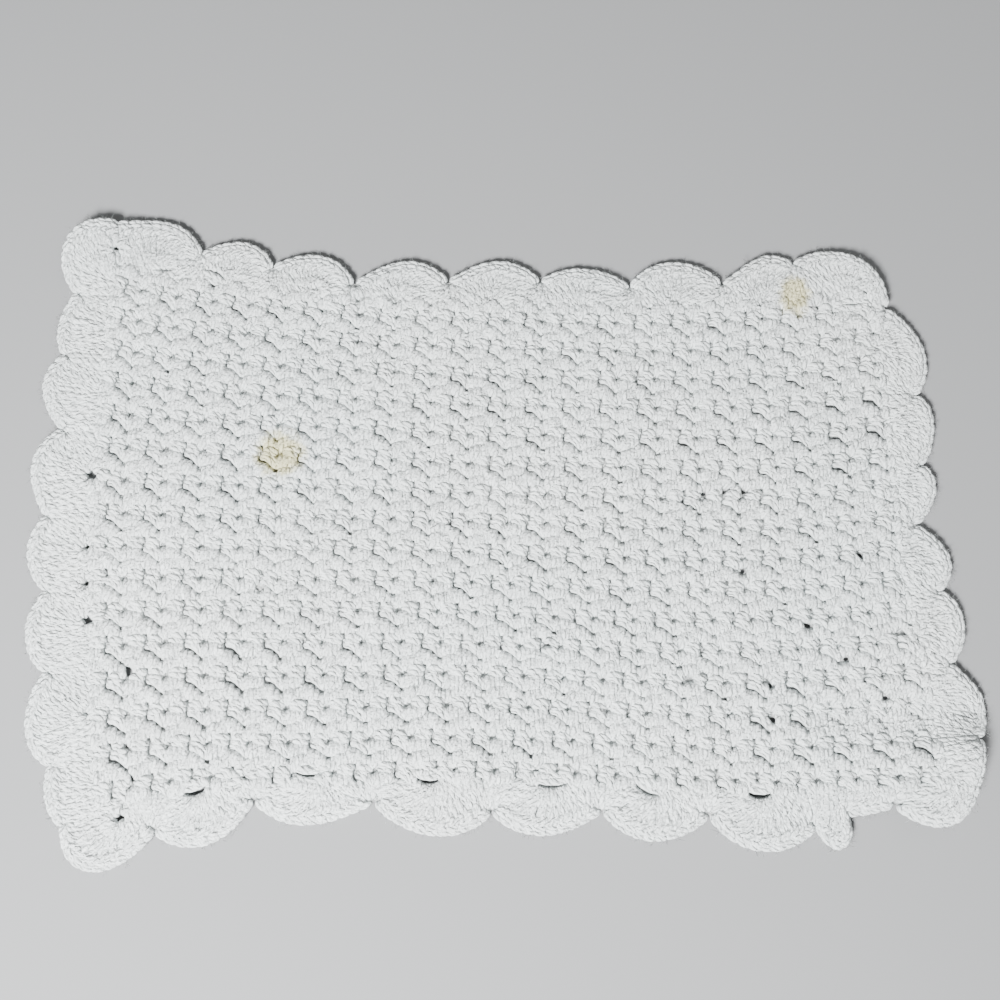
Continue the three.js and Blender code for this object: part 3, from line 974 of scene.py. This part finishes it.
def cut_holes(piece):
    """Cut the wider pits through the ground."""
    prisms = bmesh.new()
    for x, y, length, width, angle in PITS:
        if width < HOLE_WIDTH:
            continue
        place = Matrix.Translation(((x - MIDDLE[0]) * MM, (y - MIDDLE[1]) * MM, 0))
        turn = Matrix.Rotation(math.radians(angle), 4, "Z")
        stretch = Matrix.Diagonal((length / width, 1, 1, 1))
        half = 0.5 * width * MM
        bmesh.ops.create_cone(
            prisms, cap_ends=True, segments=HOLE_SIDES, radius1=half, radius2=half,
            depth=HOLE_HEIGHT * MM, matrix=place @ turn @ stretch,
        )
    mesh = bpy.data.meshes.new("holes")
    prisms.to_mesh(mesh)
    prisms.free()
    cutter = add_object("holes", mesh)
    cut = piece.modifiers.new("holes", "BOOLEAN")
    cut.object = cutter
    cut.operation = "DIFFERENCE"
    cut.solver = "MANIFOLD"
    state = bpy.context.evaluated_depsgraph_get()
    pierced = bpy.data.meshes.new_from_object(piece.evaluated_get(state))
    piece.modifiers.clear()
    piece.data = pierced
    bpy.data.objects.remove(cutter)


# Finishes

def add_node(tree, kind, **settings):
    """A new node with these settings."""
    node = tree.nodes.new(kind)
    for name, value in settings.items():
        setattr(node, name, value)
    return node


def feed(tree, socket, given):
    """Link a socket to an output, or set it to a plain value."""
    if isinstance(given, bpy.types.NodeSocket):
        tree.links.new(given, socket)
    else:
        socket.default_value = given


def value_node(tree, operation, *inputs):
    """The output of a Math node."""
    node = add_node(tree, "ShaderNodeMath", operation=operation)
    for socket, given in zip(node.inputs, inputs):
        feed(tree, socket, given)
    return node.outputs["Value"]


def map_range(tree, value, low, high, to_low, to_high, shape="LINEAR"):
    """A value that goes from to_low to to_high while another goes from low to high."""
    node = add_node(tree, "ShaderNodeMapRange", interpolation_type=shape)
    feed(tree, node.inputs["Value"], value)
    feed(tree, node.inputs["From Min"], low)
    feed(tree, node.inputs["From Max"], high)
    feed(tree, node.inputs["To Min"], to_low)
    feed(tree, node.inputs["To Max"], to_high)
    return node.outputs["Result"]


def noise_node(tree, place, scale, detail):
    """The output of a Noise node."""
    node = add_node(tree, "ShaderNodeTexNoise")
    feed(tree, node.inputs["Vector"], place)
    feed(tree, node.inputs["Scale"], scale)
    feed(tree, node.inputs["Detail"], detail)
    return node.outputs["Fac"]


def place_node(tree, x, y):
    """A place put together from two values."""
    node = add_node(tree, "ShaderNodeCombineXYZ")
    feed(tree, node.inputs["X"], x)
    feed(tree, node.inputs["Y"], y)
    return node.outputs["Vector"]


def toned(tree, color, tone, share=1):
    """A colour multiplied by another, in full or by a share."""
    node = add_node(tree, "ShaderNodeMix", data_type="RGBA", blend_type="MULTIPLY")
    feed(tree, node.inputs["Factor"], share)
    feed(tree, node.inputs["A"], color)
    feed(tree, node.inputs["B"], tone)
    return node.outputs["Result"]


def stained_group():
    """Colour of used cotton: a clean colour in, the same with slow changes of tone and two pale yellow
    stains out."""
    group = bpy.data.node_groups.new("used_cotton", "ShaderNodeTree")
    group.interface.new_socket("Clean", in_out="INPUT", socket_type="NodeSocketColor")
    group.interface.new_socket("Color", in_out="OUTPUT", socket_type="NodeSocketColor")
    enter = add_node(group, "NodeGroupInput")
    leave = add_node(group, "NodeGroupOutput")
    place = add_node(group, "ShaderNodeTexCoord").outputs["Object"]
    cloud = noise_node(group, place, CLOUD_SCALE, SLOW_DETAIL)
    color = toned(group, enter.outputs["Clean"], CLOUD_TONE, cloud)
    blotch = noise_node(group, place, BLOTCH_SCALE, SLOW_DETAIL)
    for x, y, half_width, half_depth, strength in STAINS:
        spot = add_node(group, "ShaderNodeMapping", vector_type="TEXTURE")
        feed(group, spot.inputs["Vector"], place)
        feed(group, spot.inputs["Location"], ((x - MIDDLE[0]) * MM, (y - MIDDLE[1]) * MM, 0))
        feed(group, spot.inputs["Scale"], (half_width * MM, half_depth * MM, 1))
        away = add_node(group, "ShaderNodeVectorMath", operation="LENGTH")
        feed(group, away.inputs[0], spot.outputs["Vector"])
        ragged = value_node(group, "MULTIPLY_ADD", blotch, STAIN_RAGGED, away.outputs["Value"])
        share = map_range(group, ragged, STAIN_OUTER, STAIN_INNER, 0, strength, "SMOOTHSTEP")
        color = toned(group, color, STAIN_TONE, share)
    feed(group, leave.inputs["Color"], color)
    return group


def twisted_plies(tree):
    """Relief of the plies that wind round a yarn, and of the fibres that run along them."""
    uv = add_node(tree, "ShaderNodeUVMap", uv_map="yarn")
    parts = add_node(tree, "ShaderNodeSeparateXYZ")
    feed(tree, parts.inputs["Vector"], uv.outputs["UV"])
    round_yarn, along = parts.outputs["X"], parts.outputs["Y"]
    slow = place_node(tree, round_yarn, value_node(tree, "MULTIPLY", along, WANDER_PACE))
    wander = value_node(tree, "MULTIPLY", noise_node(tree, slow, 1, SLOW_DETAIL), TWIST_WANDER)
    turns = value_node(tree, "MULTIPLY_ADD", along, 1 / TWIST, round_yarn)
    turns = value_node(tree, "ADD", turns, wander)
    wave = value_node(tree, "SINE", value_node(tree, "MULTIPLY", turns, PLIES * math.pi))
    fibre_x = value_node(tree, "MULTIPLY", turns, FIBRES_ROUND)
    fibre_y = value_node(tree, "MULTIPLY", along, FIBRE_PACE)
    fibres = noise_node(tree, place_node(tree, fibre_x, fibre_y), 1, FIBRE_DETAIL)
    return value_node(tree, "ABSOLUTE", wave), fibres


def cotton_material(name, stained, clean_color, on_yarns):
    """Matte white cotton, or the painted shade grey of the ground: fuzz over all, and on yarns plies,
    fibres and a tone of their own, with painted shade in the plies' grooves and painted glints on the
    fibres.
    """
    material = bpy.data.materials.new(name)
    material.use_nodes = True
    tree = material.node_tree
    shader = tree.nodes["Principled BSDF"]
    for socket, value in COTTON_FINISH.items():
        feed(tree, shader.inputs[socket], value)

    place = add_node(tree, "ShaderNodeTexCoord").outputs["Object"]
    fuzz = noise_node(tree, place, FUZZ_SCALE, FUZZ_DETAIL)
    height = value_node(tree, "MULTIPLY", fuzz, FUZZ_RELIEF)
    bright = map_range(tree, fuzz, *FUZZ_TONE)
    if on_yarns:
        ply, fibres = twisted_plies(tree)
        height = value_node(tree, "MULTIPLY_ADD", ply, PLY_RELIEF, height)
        height = value_node(tree, "MULTIPLY_ADD", fibres, FIBRE_RELIEF, height)
        # Painted shade: darker in the grooves between plies
        bright = value_node(tree, "MULTIPLY", bright, map_range(tree, ply, *PLY_GROOVE_SHADE))
        # Fibres: partly random tone, partly painted glints brighter than the clean colour
        bright = value_node(tree, "MULTIPLY", bright, map_range(tree, fibres, *FIBRE_TONE_AND_GLINT))
        shade = add_node(tree, "ShaderNodeAttribute", attribute_name="shade")
        bright = value_node(tree, "MULTIPLY_ADD", shade.outputs["Fac"], YARN_TONE, bright)
    bump = add_node(tree, "ShaderNodeBump")
    feed(tree, bump.inputs["Strength"], 1)
    feed(tree, bump.inputs["Distance"], MM)
    feed(tree, bump.inputs["Height"], height)
    feed(tree, shader.inputs["Normal"], bump.outputs["Normal"])

    used = add_node(tree, "ShaderNodeGroup", node_tree=stained)
    feed(tree, used.inputs["Clean"], toned(tree, clean_color, bright))
    feed(tree, shader.inputs["Base Color"], used.outputs["Color"])
    return material


# Stage

def make_floor():
    """A wide grey floor under the mat."""
    mesh = bpy.data.meshes.new("floor")
    sheet = bmesh.new()
    bmesh.ops.create_grid(sheet, x_segments=1, y_segments=1, size=FLOOR_HALF)
    sheet.to_mesh(mesh)
    sheet.free()
    paint = bpy.data.materials.new("floor_paint")
    paint.use_nodes = True
    for socket, value in FLOOR_PAINT.items():
        paint.node_tree.nodes["Principled BSDF"].inputs[socket].default_value = value
    mesh.materials.append(paint)
    add_object("floor", mesh)


def make_light():
    """Lamps that point at the mat's middle, and a white sky."""
    for name, (place, size, power) in LAMPS.items():
        lamp = bpy.data.lights.new(name, "AREA")
        lamp.size = size
        lamp.energy = power
        holder = add_object(name, lamp)
        holder.location = place
        x, y, z = place
        holder.rotation_euler = (math.atan2(math.hypot(x, y), z), 0, math.atan2(-y, -x) - math.pi / 2)
    world = bpy.data.worlds.new("studio")
    world.use_nodes = True
    for socket, value in SKY.items():
        world.node_tree.nodes["Background"].inputs[socket].default_value = value
    bpy.context.scene.world = world


def make_camera():
    """The photo's camera, above the mat's near side and tilted towards its middle."""
    camera = bpy.data.cameras.new("camera")
    camera.sensor_width = CAMERA_SENSOR
    camera.lens = CAMERA_LENS
    eye = add_object("camera", camera)
    eye.location = np.array(CAMERA_PLACE) - np.append(MIDDLE, 0) * MM
    eye.rotation_euler = (math.radians(CAMERA_TILT), 0, 0)
    bpy.context.scene.camera = eye


make_floor()
make_light()
make_camera()
used_cotton = stained_group()
yarn_finish = cotton_material("cotton_yarn", used_cotton, COTTON, on_yarns=True)
# The ground sheet is painted dark grey: painted shade for the depths between stitches
shaded_ground_finish = cotton_material("cotton_ground_painted_shade", used_cotton, SHADE_PAINTED_COTTON, on_yarns=False)
ground = make_ground()
strands = make_body() + make_border()
for piece in [ground] + strands:
    piece.data.materials.clear()
    piece.data.materials.append(shaded_ground_finish if piece is ground else yarn_finish)
    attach(piece, "root")
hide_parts("placemat")
